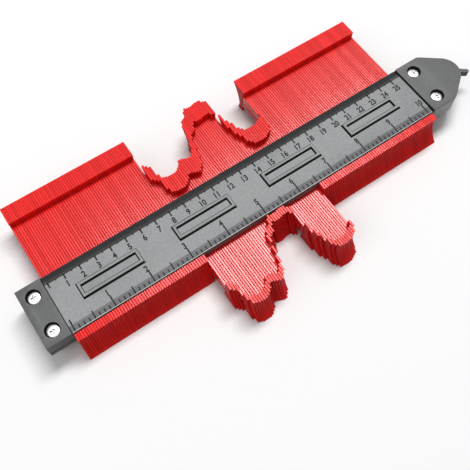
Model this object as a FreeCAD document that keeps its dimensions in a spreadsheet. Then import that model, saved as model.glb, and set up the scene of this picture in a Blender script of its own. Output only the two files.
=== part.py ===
import FreeCAD, Part
import os

import Sketcher

# Contour gauge: a two-part moulded housing with a ruler on its face holds a stack of thin
# hooked fins that slide across it. A lever in the nose clamps the stack through a short bar.
# X runs along the ruler towards the nose, Y across it, Z out of the ruler face.
# The origin is on the flat underside of the bottom cover, below the middle of the ruler.

SIZES = (
    # the fins
    ("fin_count", 165),
    ("fin_pitch", 1.565),
    ("fin_thickness", 1.53),
    ("stack_start", -128.9),
    ("fin_mid_height", 10.2),
    ("head_height", 20.0),
    ("stem_height", 10.5),
    ("head_inner", 40.15),
    ("head_draft", 1.0),
    ("tip_reach", 51.5),
    ("heel_reach", 45.6),
    ("neck_reach", 44.2),
    ("neck_drop", 5.0),
    ("flank_reach", 46.6),
    ("flank_rise", 2.8),
    ("full_out", 20.9),
    # how the stack is shared out among the sliding groups
    ("left_block_fins", 54),
    ("middle_fins", 53),
    ("block_group", 6),
    ("middle_group", 4),
    # the housing's outline
    ("left_end", -144.9),
    ("half_width", 19.4),
    ("shoulder_gap", 20.5),
    ("shoulder_radius", 5.0),
    ("taper_length", 13.6),
    ("nose_corner_y", 9.0),
    ("nose_crown", 4.0),
    ("cover_inset", 3.3),
    ("cutter_margin", 1.0),
    # the housing's heights
    ("face_height", 21.1),
    ("block_rise", 0.6),
    ("parting_height", 8.8),
    ("stem_clearance", 0.15),
    ("channel_end_gap", 0.1),
    # the ruler face
    ("ruler_start", -129.4),
    ("ruler_end_gap", 2.1),
    ("face_half_width", 14.3),
    ("bevel_drop", 0.5),
    ("groove_width", 1.3),
    ("groove_depth", 0.8),
    ("frame_length", 39.5),
    ("frame_width", 10.0),
    ("frame_rim", 2.2),
    ("frame_rise", 0.4),
    ("frame_pitch", 63.2),
    ("frame_count", 4),
    ("underside_chamfer", 1.2),
    # the cover screws
    ("screw_left_x", -137.2),
    ("screw_end_gap", 11.3),
    ("screw_y", 11.4),
    ("screw_head_diameter", 7.4),
    ("screw_head_height", 2.4),
    ("screw_diameter", 3.2),
    ("screw_length", 15.5),
    ("pilot_depth", 0.4),
    ("screw_recess", 1.2),
    ("counterbore_diameter", 9.0),
    ("screw_hole_clearance", 0.05),
    # the lock lever and its bar
    ("pivot_gap", 26.7),
    ("pivot_y", 4.0),
    ("pivot_diameter", 4.0),
    ("pivot_clearance", 0.06),
    ("post_diameter", 7.0),
    ("pin_socket", 2.0),
    ("lever_bottom", 11.8),
    ("lever_thickness", 4.4),
    ("lever_gap", 0.15),
    ("hub_radius", 6.0),
    ("cam_throw", 0.6),
    ("cam_direction", 245),
    ("lever_angle", -38),
    ("lever_swing", 50),
    ("arm_offset", 4.0),
    ("arm_root_width", 4.0),
    ("arm_tip_width", 2.6),
    ("arm_length", 21.5),
    ("window_length", 30.0),
    ("cavity_gap", 0.5),
    ("bar_width", 9.0),
    ("bar_height", 6.0),
    ("bar_side_gap", 0.1),
    ("bar_end_gap", 0.1),
)

# The traced contour: (fin, share) pairs, where the middle's fins are counted from its first
# one and the share is that of full_out by which the fin stands towards +Y. Fins between two
# pairs follow the straight line between them. Both outer blocks stand fully out.
CONTOUR = (
    (0, -0.03), (2, -0.18), (3, -0.54), (4, -0.70), (6, -0.76), (9, -0.76), (10, -0.73),
    (12, -0.60), (13, -0.47), (14, -0.47), (17, -0.56), (18, -0.56), (20, -0.38),
    (21, -0.15), (22, 0.15), (23, 0.50), (24, 0.65), (26, 0.73), (27, 0.91), (28, 1.0),
    (29, 0.96), (31, 0.96), (33, 1.0), (35, 1.0), (36, 0.91), (37, 0.87), (38, 0.21),
    (39, -0.09), (40, -0.24), (41, -0.50), (43, -0.68), (46, -0.70), (48, -0.68),
    (51, -0.56), (52, -0.42),
)

# Heights and lengths that several pieces share
ROOF = "(Sizes.fin_mid_height + Sizes.stem_height / 2 + Sizes.stem_clearance)"
FLOOR = "(Sizes.fin_mid_height - Sizes.stem_height / 2 - Sizes.stem_clearance)"
BLOCK_TOP = "(Sizes.face_height + Sizes.block_rise)"
SCREW_SEAT = "(Sizes.face_height + Sizes.block_rise - Sizes.screw_recess - Sizes.screw_head_height)"
STACK_END = "(Sizes.stack_start + (Sizes.fin_count - 1) * Sizes.fin_pitch + Sizes.fin_thickness)"
RULER_END = "(%s + Sizes.ruler_end_gap)" % STACK_END
SCREW_RIGHT = "(%s + Sizes.screw_end_gap)" % STACK_END
SHOULDER = "(%s + Sizes.shoulder_gap)" % STACK_END
PIVOT = ("(%s + Sizes.pivot_gap)" % STACK_END, "Sizes.pivot_y")
LEVER_ROOF = "(Sizes.lever_bottom + Sizes.lever_thickness + Sizes.lever_gap)"
SCREW_HOLE = "(Sizes.screw_diameter / 2 + Sizes.screw_hole_clearance)"
TAPER = "atan((Sizes.half_width - Sizes.nose_corner_y) / Sizes.taper_length)"
BEYOND = "(Sizes.half_width + Sizes.cutter_margin)"

# two places that lie closer together than this are the same place
NEAR = 0.001

doc = FreeCAD.newDocument("contour_gauge")
sheet = doc.addObject("Spreadsheet::Sheet", "Sizes")
for row, (alias, number) in enumerate(SIZES, start=1):
    sheet.set("A%d" % row, alias)
    sheet.set("B%d" % row, str(number))
    sheet.setAlias("B%d" % row, alias)
doc.recompute()


def value(text):
    """The number that an expression in the sheet's names stands for."""
    found = sheet.evalExpression(str(text))
    return float(getattr(found, "Value", found))


def point(pair):
    return FreeCAD.Vector(value(pair[0]), value(pair[1]), 0)


def new_body(label):
    body = doc.addObject("PartDesign::Body", label)
    body.Label = label
    return body


def new_sketch(body, name, role, height=None):
    """A sketch on one of the body's own origin planes, moved along the plane's normal."""
    plane = [feature for feature in body.Origin.OriginFeatures if feature.Role == role][0]
    sketch = body.newObject("Sketcher::SketchObject", name)
    sketch.AttachmentSupport = (plane, [""])
    sketch.MapMode = "FlatFace"
    if height is not None:
        sketch.setExpression("AttachmentOffset.Base.z", height)
    return sketch


def hold(sketch, item, end, pair):
    """Binds a point of the sketch to a pair of expressions."""
    for kind, text in (("DistanceX", pair[0]), ("DistanceY", pair[1])):
        index = sketch.addConstraint(Sketcher.Constraint(kind, -1, 1, item, end, value(text)))
        sketch.setExpression("Constraints[%d]" % index, str(text))


def draw_outline(sketch, corners):
    """A closed outline. A corner is (x, y), or (x, y, via x, via y) where an arc leaves it."""
    ends = []
    for number, corner in enumerate(corners):
        following = corners[(number + 1) % len(corners)]
        start = point(corner)
        finish = point(following)
        if len(corner) == 2:
            item = sketch.addGeometry(Part.LineSegment(start, finish))
            ends.append((item, 1, 2))
            continue
        via = corner[2:]
        item = sketch.addGeometry(Part.Arc(start, point(via), finish))
        forward = sketch.Geometry[item].StartPoint.distanceToPoint(start) < NEAR
        ends.append((item, 1, 2) if forward else (item, 2, 1))
        helper = sketch.addGeometry(Part.Point(point(via)), True)
        hold(sketch, helper, 1, via)
        sketch.addConstraint(Sketcher.Constraint("PointOnObject", helper, 1, item))
    for number, (item, _, last) in enumerate(ends):
        other, first, _ = ends[(number + 1) % len(ends)]
        sketch.addConstraint(Sketcher.Constraint("Coincident", item, last, other, first))
    for (item, first, _), corner in zip(ends, corners):
        hold(sketch, item, first, corner)


def draw_rectangle(sketch, low, high):
    draw_outline(sketch, ((low[0], low[1]), (high[0], low[1]), (high[0], high[1]), (low[0], high[1])))


def draw_circle(sketch, centre, radius):
    circle = Part.Circle(point(centre), FreeCAD.Vector(0, 0, 1), value(radius))
    item = sketch.addGeometry(circle)
    hold(sketch, item, 3, centre)
    index = sketch.addConstraint(Sketcher.Constraint("Radius", item, value(radius)))
    sketch.setExpression("Constraints[%d]" % index, str(radius))


def pad(body, name, sketch, length):
    feature = body.newObject("PartDesign::Pad", name)
    feature.Profile = sketch
    feature.setExpression("Length", length)
    doc.recompute()
    return feature


def pocket(body, name, sketch, length, along_normal=False):
    """Cuts against the sketch's normal, or along it, and makes sure that it cut something."""
    before = body.Shape.Volume
    feature = body.newObject("PartDesign::Pocket", name)
    feature.Profile = sketch
    feature.setExpression("Length", length)
    feature.Reversed = along_normal
    doc.recompute()
    if body.Shape.Volume > before - 0.01:
        raise RuntimeError(name + " cut nothing")
    return feature


def turned(angle, along, across):
    """A point seen from the lever's pivot: so far along a direction, so far to its left."""
    return ("%s + (%s) * cos(%s) - (%s) * sin(%s)" % (PIVOT[0], along, angle, across, angle),
            "%s + (%s) * sin(%s) + (%s) * cos(%s)" % (PIVOT[1], along, angle, across, angle))


def housing_outline(inset):
    """The housing seen from above, with every side moved in by the inset."""
    shoulder = "(%s - %s * tan(%s / 2))" % (SHOULDER, inset, TAPER)
    corner_x = "(%s + Sizes.taper_length - %s * sin(%s))" % (SHOULDER, inset, TAPER)
    corner_y = "(Sizes.nose_corner_y - %s * cos(%s))" % (inset, TAPER)
    side = "(Sizes.half_width - %s)" % inset
    left = "(Sizes.left_end + %s)" % inset
    tip = "(%s + Sizes.taper_length + Sizes.nose_crown - %s)" % (SHOULDER, inset)
    return ((left, "-" + side), (shoulder, "-" + side), (corner_x, "-" + corner_y, tip, "0"),
            (corner_x, corner_y), (shoulder, side), (left, side))


def round_shoulders(body, name, block, radius):
    """Rounds the two upright edges where the sides turn into the nose."""
    fillet = body.newObject("PartDesign::Fillet", name)
    turn = value(SHOULDER)
    edges = ["Edge%d" % (number + 1) for number, edge in enumerate(block.Shape.Edges)
             if edge.BoundBox.ZLength > NEAR and abs(edge.BoundBox.XMin - turn) < NEAR
             and abs(edge.BoundBox.XMax - turn) < NEAR]
    fillet.Base = (block, edges)
    fillet.setExpression("Radius", radius)
    doc.recompute()
    return fillet


def screw_places():
    return [(x, y) for x in ("Sizes.screw_left_x", SCREW_RIGHT)
            for y in ("-Sizes.screw_y", "Sizes.screw_y")]


def draw_channel(sketch):
    """The gap that the fins' stems fill, open on both long sides of the housing."""
    draw_rectangle(sketch,
                   ("Sizes.stack_start - Sizes.channel_end_gap", "-" + BEYOND),
                   (STACK_END + " + Sizes.channel_end_gap", BEYOND))


def make_top_cover():
    body = new_body("top_cover")
    outline = new_sketch(body, "top_outline", "XY_Plane", "Sizes.parting_height")
    draw_outline(outline, housing_outline("0"))
    block = pad(body, "top_block", outline, BLOCK_TOP + " - Sizes.parting_height")
    round_shoulders(body, "top_shoulders", block, "Sizes.shoulder_radius")

    # the ruler face lies a little lower than the end blocks, with a bevel along each long side
    edge = "(Sizes.face_height - Sizes.bevel_drop)"
    above = "(%s + Sizes.cutter_margin)" % BLOCK_TOP
    face = new_sketch(body, "ruler_section", "YZ_Plane", "Sizes.ruler_start")
    draw_outline(face, (("-" + BEYOND, above), ("-" + BEYOND, edge), ("-Sizes.half_width", edge),
                        ("-Sizes.face_half_width", "Sizes.face_height"),
                        ("Sizes.face_half_width", "Sizes.face_height"),
                        ("Sizes.half_width", edge), (BEYOND, edge), (BEYOND, above)))
    pocket(body, "ruler_face", face, RULER_END + " - Sizes.ruler_start", along_normal=True)

    groove = new_sketch(body, "groove_outline", "XY_Plane", "Sizes.face_height")
    draw_rectangle(groove, (RULER_END + " - Sizes.groove_width", "-" + BEYOND),
                   (RULER_END, BEYOND))
    pocket(body, "step_groove", groove, "Sizes.groove_depth")

    channel = new_sketch(body, "channel_outline", "XY_Plane", ROOF)
    draw_channel(channel)
    pocket(body, "fin_channel", channel, ROOF + " - Sizes.parting_height")

    seats = new_sketch(body, "seat_circles", "XY_Plane", BLOCK_TOP)
    holes = new_sketch(body, "hole_circles", "XY_Plane", SCREW_SEAT)
    for place in screw_places():
        draw_circle(seats, place, "Sizes.counterbore_diameter / 2")
        draw_circle(holes, place, SCREW_HOLE)
    pocket(body, "screw_seats", seats, BLOCK_TOP + " - " + SCREW_SEAT)
    pocket(body, "screw_holes", holes, SCREW_SEAT + " - Sizes.parting_height")

    # room for the lever's hub, for the swing of its arm through the nose and for the bar
    cavity_height = LEVER_ROOF + " - Sizes.parting_height"
    hub = new_sketch(body, "hub_circle", "XY_Plane", LEVER_ROOF)
    draw_circle(hub, PIVOT, "Sizes.hub_radius + Sizes.cam_throw + Sizes.cavity_gap")
    pocket(body, "hub_cavity", hub, cavity_height)
    swing = new_sketch(body, "swing_outline", "XY_Plane", LEVER_ROOF)
    far = "Sizes.window_length"
    inner = "(Sizes.arm_offset - Sizes.arm_root_width / 2 - Sizes.cavity_gap)"
    outer = "(Sizes.arm_offset + Sizes.arm_root_width / 2 + Sizes.cavity_gap)"
    opened = "(Sizes.lever_angle + Sizes.lever_swing)"
    draw_outline(swing, (turned("Sizes.lever_angle", "0", inner),
                         turned("Sizes.lever_angle", far, inner),
                         turned(opened, far, outer), turned(opened, "0", outer)))
    pocket(body, "lever_window", swing, cavity_height)
    bar = new_sketch(body, "bar_channel_outline", "XY_Plane",
                     "Sizes.parting_height + Sizes.bar_height + 2 * Sizes.bar_side_gap")
    bar_side = "(Sizes.bar_width / 2 + Sizes.bar_side_gap)"
    draw_rectangle(bar, (STACK_END, "-" + bar_side), (PIVOT[0], bar_side))
    pocket(body, "bar_channel", bar, "Sizes.bar_height + 2 * Sizes.bar_side_gap")
    socket = new_sketch(body, "socket_circle", "XY_Plane", LEVER_ROOF)
    draw_circle(socket, PIVOT, "Sizes.pivot_diameter / 2 + Sizes.pivot_clearance")
    pocket(body, "pin_socket", socket, "Sizes.pin_socket", along_normal=True)

    # four raised frames on the ruler face
    frame = new_sketch(body, "frame_outline", "XY_Plane", "Sizes.face_height")
    middle = "(Sizes.frame_pitch * (Sizes.frame_count - 1) / 2)"
    for inset in ("0", "Sizes.frame_rim"):
        long_half = "(Sizes.frame_length / 2 - %s)" % inset
        short_half = "(Sizes.frame_width / 2 - %s)" % inset
        draw_rectangle(frame, ("-%s - %s" % (middle, long_half), "-" + short_half),
                       ("-%s + %s" % (middle, long_half), short_half))
    first = pad(body, "first_frame", frame, "Sizes.frame_rise")
    row = body.newObject("PartDesign::LinearPattern", "frame_row")
    row.Originals = [first]
    row.Direction = (frame, ["H_Axis"])
    row.setExpression("Length", "Sizes.frame_pitch * (Sizes.frame_count - 1)")
    row.setExpression("Occurrences", "Sizes.frame_count")
    body.Tip = row
    doc.recompute()
    return body


def make_bottom_cover():
    body = new_body("bottom_cover")
    outline = new_sketch(body, "bottom_outline", "XY_Plane")
    draw_outline(outline, housing_outline("Sizes.cover_inset"))
    block = pad(body, "bottom_block", outline, "Sizes.parting_height")

    chamfer = body.newObject("PartDesign::Chamfer", "underside_edges")
    rim = ["Edge%d" % (number + 1) for number, edge in enumerate(block.Shape.Edges)
           if edge.BoundBox.ZMax < NEAR]
    chamfer.Base = (block, rim)
    chamfer.setExpression("Size", "Sizes.underside_chamfer")
    doc.recompute()

    channel = new_sketch(body, "floor_outline", "XY_Plane", "Sizes.parting_height")
    draw_channel(channel)
    pocket(body, "fin_floor", channel, "Sizes.parting_height - " + FLOOR)

    holes = new_sketch(body, "pilot_circles", "XY_Plane", "Sizes.parting_height")
    for place in screw_places():
        draw_circle(holes, place, SCREW_HOLE)
    pocket(body, "screw_pilots", holes,
           "Sizes.parting_height - (" + SCREW_SEAT + " - Sizes.screw_length) + Sizes.pilot_depth")

    # a shouldered post carries the lever and ends in the top cover's socket
    post = new_sketch(body, "post_circle", "XY_Plane", "Sizes.parting_height")
    draw_circle(post, PIVOT, "Sizes.post_diameter / 2")
    pad(body, "lever_post", post, "Sizes.lever_bottom - Sizes.lever_gap - Sizes.parting_height")
    pin = new_sketch(body, "pin_circle", "XY_Plane", "Sizes.lever_bottom - Sizes.lever_gap")
    draw_circle(pin, PIVOT, "Sizes.pivot_diameter / 2")
    pad(body, "lever_pin", pin, "Sizes.lever_thickness + 2 * Sizes.lever_gap"
        " + Sizes.pin_socket - Sizes.lever_gap")
    return body


def make_lock_lever():
    body = new_body("lock_lever")
    hub = new_sketch(body, "cam_circle", "XY_Plane", "Sizes.lever_bottom")
    draw_circle(hub, (PIVOT[0] + " + Sizes.cam_throw * cos(Sizes.cam_direction)",
                      PIVOT[1] + " + Sizes.cam_throw * sin(Sizes.cam_direction)"),
                "Sizes.hub_radius")
    pad(body, "cam_hub", hub, "Sizes.lever_thickness")
    arm = new_sketch(body, "arm_outline", "XY_Plane", "Sizes.lever_bottom")
    root_in = "Sizes.arm_offset - Sizes.arm_root_width / 2"
    root_out = "Sizes.arm_offset + Sizes.arm_root_width / 2"
    tip_in = "Sizes.arm_offset - Sizes.arm_tip_width / 2"
    tip_out = "Sizes.arm_offset + Sizes.arm_tip_width / 2"
    tip_run = "Sizes.arm_length - Sizes.arm_tip_width / 2"
    angle = "Sizes.lever_angle"
    draw_outline(arm, (turned(angle, "0", root_in),
                       turned(angle, tip_run, tip_in) + turned(angle, "Sizes.arm_length",
                                                               "Sizes.arm_offset"),
                       turned(angle, tip_run, tip_out), turned(angle, "0", root_out)))
    pad(body, "arm", arm, "Sizes.lever_thickness")
    bore = new_sketch(body, "bore_circle", "XY_Plane", "Sizes.lever_bottom + Sizes.lever_thickness")
    draw_circle(bore, PIVOT, "Sizes.pivot_diameter / 2 + Sizes.pivot_clearance")
    pocket(body, "pivot_bore", bore, "Sizes.lever_thickness")
    return body


def make_lock_bar():
    body = new_body("lock_bar")
    outline = new_sketch(body, "bar_outline", "XY_Plane",
                         "Sizes.parting_height + Sizes.bar_side_gap")
    cam_reach = (PIVOT[0] + " + Sizes.cam_throw * cos(Sizes.cam_direction)"
                 " - Sizes.hub_radius - Sizes.bar_end_gap")
    draw_rectangle(outline, (STACK_END + " + Sizes.bar_end_gap", "-Sizes.bar_width / 2"),
                   (cam_reach, "Sizes.bar_width / 2"))
    pad(body, "bar", outline, "Sizes.bar_height")
    return body


def make_screw():
    """One cover screw on the Z axis, with the underside of its head at height zero."""
    body = new_body("screw")
    section = new_sketch(body, "screw_section", "XZ_Plane")
    head = "Sizes.screw_head_diameter / 2"
    shank = "Sizes.screw_diameter / 2"
    draw_outline(section, (("0", "-Sizes.screw_length"), (shank, "-Sizes.screw_length"),
                           (shank, "0"), (head, "0"), (head, "Sizes.screw_head_height"),
                           ("0", "Sizes.screw_head_height")))
    turn = body.newObject("PartDesign::Revolution", "turned_screw")
    turn.Profile = section
    turn.ReferenceAxis = (section, ["V_Axis"])
    turn.Angle = 360
    doc.recompute()
    return body


def make_fin():
    """One fin about its own middle: a flat stem with a hooked head at each end.

    The far head is the near one turned half a turn, so either long side can face up.
    """
    body = new_body("fin")
    section = new_sketch(body, "fin_section", "YZ_Plane")
    top = "Sizes.head_height / 2"
    stem = "Sizes.stem_height / 2"
    lean = "Sizes.head_draft / Sizes.head_height"
    head = (("Sizes.head_inner - (%s) * %s" % (lean, stem), stem),
            ("Sizes.head_inner - Sizes.head_draft / 2", top),
            ("Sizes.tip_reach", top),
            ("Sizes.flank_reach", "Sizes.flank_rise"),
            ("Sizes.neck_reach", "-Sizes.neck_drop"),
            ("Sizes.heel_reach", "-(%s)" % top),
            ("Sizes.head_inner + Sizes.head_draft / 2", "-(%s)" % top),
            ("Sizes.head_inner + (%s) * %s" % (lean, stem), "-(%s)" % stem))
    far_head = tuple(tuple("-(%s)" % text for text in corner) for corner in head)
    draw_outline(section, head + far_head)
    pad(body, "fin_plate", section, "Sizes.fin_thickness")
    return body


def place_copies(label, shape, places):
    """A named group of separate solids, each a copy of the shape."""
    copies = []
    for place in places:
        copy = shape.copy()
        copy.translate(place)
        copies.append(copy)
    group = doc.addObject("Part::Feature", label)
    group.Label = label
    group.Shape = Part.makeCompound(copies) if len(copies) > 1 else copies[0]
    return group


def fin_offset(fin):
    """How far a fin stands towards +Y: along the contour in the middle, else fully out."""
    full = value("Sizes.full_out")
    place = fin - value("Sizes.left_block_fins")
    for (first, low), (last, high) in zip(CONTOUR, CONTOUR[1:]):
        if first <= place <= last:
            return full * (low + (high - low) * (place - first) / (last - first))
    return full


def fin_groups():
    """Fin numbers shared out into groups that slide together."""
    count = int(value("Sizes.fin_count"))
    left = int(value("Sizes.left_block_fins"))
    right = left + int(value("Sizes.middle_fins"))
    groups = []
    for start, stop, share in ((0, left, "block"), (left, right, "middle"), (right, count, "block")):
        step = int(value("Sizes.%s_group" % share))
        groups += [range(first, min(first + step, stop)) for first in range(start, stop, step)]
    return groups


def make_fin_groups(shape):
    start = value("Sizes.stack_start")
    pitch = value("Sizes.fin_pitch")
    middle = value("Sizes.fin_mid_height")
    groups = []
    for number, fins in enumerate(fin_groups(), start=1):
        places = []
        for fin in fins:
            places.append(FreeCAD.Vector(start + fin * pitch, fin_offset(fin), middle))
        groups.append(place_copies("fins_%02d" % number, shape, places))
    return groups


screw = make_screw()
fin = make_fin()
seat = value(SCREW_SEAT)
pieces = [make_top_cover(), make_bottom_cover(), make_lock_lever(), make_lock_bar()]
pieces.append(place_copies("cover_screws", screw.Shape,
                           [FreeCAD.Vector(value(x), value(y), seat) for x, y in screw_places()]))
pieces += make_fin_groups(fin.Shape)
doc.recompute()

for item in doc.Objects:
    if "Invalid" in item.State or "Error" in item.State:
        raise RuntimeError("failed object: " + item.Label)
for piece in pieces:
    if piece.Shape.isNull() or not piece.Shape.isValid():
        raise RuntimeError("bad shape: " + piece.Label)

os.makedirs("parts", exist_ok=True)
for piece in pieces:
    piece.Shape.exportStep("parts/%s.step" % piece.Label)
    box = piece.Shape.BoundBox
    print("%-14s %d solids, %.0f mm3, x %.1f..%.1f, y %.1f..%.1f, z %.1f..%.1f" % (
        piece.Label, len(piece.Shape.Solids), piece.Shape.Volume,
        box.XMin, box.XMax, box.YMin, box.YMax, box.ZMin, box.ZMax))
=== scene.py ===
"""Contour gauge: a moulded ruler housing that holds a stack of red sliding fins."""

import math

import bmesh
import bpy
from mathutils import Matrix, Vector


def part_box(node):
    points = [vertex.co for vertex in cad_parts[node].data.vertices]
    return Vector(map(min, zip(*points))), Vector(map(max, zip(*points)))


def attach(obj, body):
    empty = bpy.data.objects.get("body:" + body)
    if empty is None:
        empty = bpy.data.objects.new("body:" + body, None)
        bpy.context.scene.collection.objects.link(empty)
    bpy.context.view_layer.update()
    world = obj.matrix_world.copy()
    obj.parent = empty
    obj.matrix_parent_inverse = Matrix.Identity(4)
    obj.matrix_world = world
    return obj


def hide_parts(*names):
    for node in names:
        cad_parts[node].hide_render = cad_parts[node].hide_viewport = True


bl_info = {
    "name": "Contour Gauge",
    "version": (1, 0, 0),
    "blender": (4, 5, 0),
    "location": "3D View > Sidebar > Gauge",
    "description": "Builds a contour gauge with its fins, ruler, screws and lock lever",
    "category": "Object",
}

MM = 0.001


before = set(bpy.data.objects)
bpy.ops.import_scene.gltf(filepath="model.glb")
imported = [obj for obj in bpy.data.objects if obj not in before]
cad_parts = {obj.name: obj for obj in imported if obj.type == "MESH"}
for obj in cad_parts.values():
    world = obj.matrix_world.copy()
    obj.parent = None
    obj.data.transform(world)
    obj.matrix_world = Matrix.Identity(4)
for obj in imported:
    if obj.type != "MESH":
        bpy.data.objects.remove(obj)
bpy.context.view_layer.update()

# places that come from the frame
COVER_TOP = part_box("top_cover")[1].z
SCREW_LOW, SCREW_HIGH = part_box("cover_screws")
SCREW_RADIUS = 3.7 * MM
SCREW_X = (SCREW_LOW.x + SCREW_RADIUS, SCREW_HIGH.x - SCREW_RADIUS)
SCREW_Y = (SCREW_LOW.y + SCREW_RADIUS, SCREW_HIGH.y - SCREW_RADIUS)
LEVER_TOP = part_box("lock_lever")[1].z
FIRST_LOW, FIRST_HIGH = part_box("fins_01")
SECOND_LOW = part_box("fins_02")[0]
FIRST_GROUP = 6
FIN_PITCH = (SECOND_LOW.x - FIRST_LOW.x) / FIRST_GROUP
FIN_THICKNESS = FIRST_HIGH.x - FIRST_LOW.x - (FIRST_GROUP - 1) * FIN_PITCH
FIN_MIDDLE = (FIRST_LOW.z + FIRST_HIGH.z) / 2
FIN_NODES = sorted(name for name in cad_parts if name.startswith("fins_"))

# a fin's hook, seen along X from the fin's middle: two places on the hollow of its outer
# side and the foot below; the stem reaches a little way into the heads
HOOK_MIDDLE, HOOK_END = (46.6 * MM, 2.8 * MM), (44.2 * MM, -5 * MM)
HOOK_FOOT = 45.6 * MM
HOOK_STEPS = 6
STEM_REACH = 41 * MM
FIN_GAP = 0.003 * MM
LEVEL_NORMAL, HEAD_GLOSS = 0.9, 0.38

# the ruler face: its ends, its flat part, the slope of the bevels beside it, the widths of
# the shade painted as dark lines at its two ends, and where its own colours end
FACE_TOP = COVER_TOP - 0.6 * MM
FACE_START, FACE_END = -129.4 * MM, 131.4 * MM
FACE_HALF = 14.3 * MM
FACE_SLOPE = 0.5 / 5.1
STEP_SHADE_WIDTH, LEFT_SHADE_LINE_WIDTH = 1.4 * MM, 0.45 * MM
COLOURED_END = FACE_END - 1.3 * MM

# lines across the ruler face, from its inch edge to its centimetre edge
INCH_EDGE = -19.6 * MM
# a painted highlight runs along the inch edge, with painted shade between it and the edge
PAINTED_HIGHLIGHT_START, PAINTED_HIGHLIGHT_END = -19.05 * MM, -18.6 * MM
INCH_BAND_END = -14.7 * MM
TICK_FEET = 13.8 * MM
METRIC_BAND_START = 15.75 * MM
METRIC_EDGE = 19.6 * MM

# the scales, along and across the ruler
ZERO_X = -127 * MM
CENTIMETRE, INCH = 10 * MM, 25.4 * MM
CENTIMETRES, INCHES = 25, 10
METRIC_TICK_END = 19.0 * MM
METRIC_FEET, INCH_FEET = 6.05 * MM, -11.2 * MM
METRIC_SHIFT, INCH_SHIFT = -0.25 * MM, -0.4 * MM
TICK_SINK = 0.1 * MM
THIN_SHARE, LONG_SHARE = 0.8, 1.25
FONT_SCALE, FONT_NARROWING = 1.38, 0.82

# the raised frames; their outer and inner edges are measured from the middle of each,
# first as they are in the CAD, then as they are shown
FRAME_PITCH = 63.2 * MM
FRAME_CENTRES = [(number - 1.5) * FRAME_PITCH for number in range(4)]
CAD_ALONG = [x * MM for x in (-19.75, -17.55, 17.55, 19.75)]
CAD_ACROSS = [y * MM for y in (-5.0, -2.8, 2.8, 5.0)]
SHOWN_ALONG = [x * MM for x in (-19.0, -17.6, 18.2, 19.6)]
SHOWN_ACROSS = [y * MM for y in (-4.45, -2.9, 3.2, 4.6)]
FRAME_REACH_X, FRAME_REACH_Y = 21 * MM, 6 * MM

# the lines beside a frame, cut as grooves and painted dark as shade, as shares of the
# groove width and of the fine width; those at its ends grow from one frame to the next
END_LINE, END_LINE_GROWTH = 0.5, 0.17
FINE_END_LINE = 0.7

# the screws' rounded edges, points and sides, the drop of their crowns over shares of the
# radius, the arms and taper of their cross recess, and the radius of the shade painted
# round their seats
SCREW_EDGE, SCREW_POINT, SCREW_SIDES = 0.15 * MM, 2 * MM, 48
CROWN_SHARES, CROWN_DROP, CROWN_CURVE = (0.35, 0.65, 0.85, 0.95, 1.0), 0.7 * MM, 2.4
ARM_SHARE, RECESS_TAPER = 0.26, 0.55
SEAT_SHADE_RADIUS = 4.9 * MM

# the seam between the covers along the left end, and fixed colours: a painted highlight
# along the inch edge, specks, steel, and the painted shade in the screws' cross recess
SEAM_LOW, SEAM_HIGH = 11.6 * MM, 12.6 * MM
PAINTED_HIGHLIGHT_COLOUR = (0.62, 0.61, 0.59)
SPECK_COLOUR, SPECK_SCALE = (0.02, 0.02, 0.02), 700
STEEL_COLOUR, RECESS_SHADE_COLOUR = (0.92, 0.92, 0.92), (0.34, 0.34, 0.34)

# edges sharper than the first angle are rounded, and shading is smooth below the others
SHARP_ANGLE = math.radians(32)
COVER_SMOOTH, FIN_SMOOTH, SCREW_SMOOTH = [math.radians(angle) for angle in (40, 30, 35)]
MERGE_DISTANCE = 0.002 * MM

# floor, lights and camera
FLOOR_DROP = 0.02 * MM
KEY_PLACE = (0.68, 0.72, 2.18)
FILL_PLACE = (-1.3, -0.1, 1.0)
FILL_SIZE = 1.4
CAMERA_PLACE = (-112.694 * MM, -150.239 * MM, 362.178 * MM)
CAMERA_ANGLES = (24.8523, -0.1201, -34.2719)
CAMERA_LENS = 49.619


def length_setting(name, note, value):
    """A length in the panel."""
    return bpy.props.FloatProperty(name=name, description=note, default=value,
                                   unit="LENGTH", precision=5)


def plain_setting(name, note, value):
    """A number without a unit in the panel."""
    return bpy.props.FloatProperty(name=name, description=note, default=value, min=0)


def colour_setting(name, note, value):
    """A colour in the panel."""
    return bpy.props.FloatVectorProperty(name=name, description=note, default=value,
                                         subtype="COLOR", size=3, min=0, max=1)


class FinSettings(bpy.types.PropertyGroup):
    """Shape and colour of the sliding fins."""

    head_height: length_setting(
        "Head height", "Height of the hooked heads", FIRST_HIGH.z - FIRST_LOW.z)
    reach: length_setting(
        "Reach", "Distance from a fin's middle to its tip",
        (FIRST_HIGH.y - FIRST_LOW.y) / 2)
    head_start: length_setting(
        "Head start", "Distance from a fin's middle to its heads", 40.15 * MM)
    head_lean: plain_setting("Head lean", "Slope of a head's inner side", 0.05)
    stem_height: length_setting(
        "Stem height", "Height of the stem between the heads", 10.5 * MM)
    groove_height: length_setting(
        "Groove height", "Height of the groove in a stem's sides", 2.8 * MM)
    groove_depth: length_setting(
        "Groove depth", "Depth of the groove in a stem's sides", 0.3 * MM)
    edge_round: length_setting(
        "Edge rounding", "Width of the rounding along a fin's edges", 0.3 * MM)
    stem_round: length_setting(
        "Stem rounding", "Width of the rounding along a stem's edges", 0.33 * MM)
    colour: colour_setting("Colour", "Colour of the fins' plastic", (0.86, 0.017, 0.015))
    # this colour is shade painted into the crevices between the fins
    seam_colour: colour_setting(
        "Seam colour", "Colour in the seams between neighbouring fins", (0.2, 0.003, 0.003))


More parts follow.
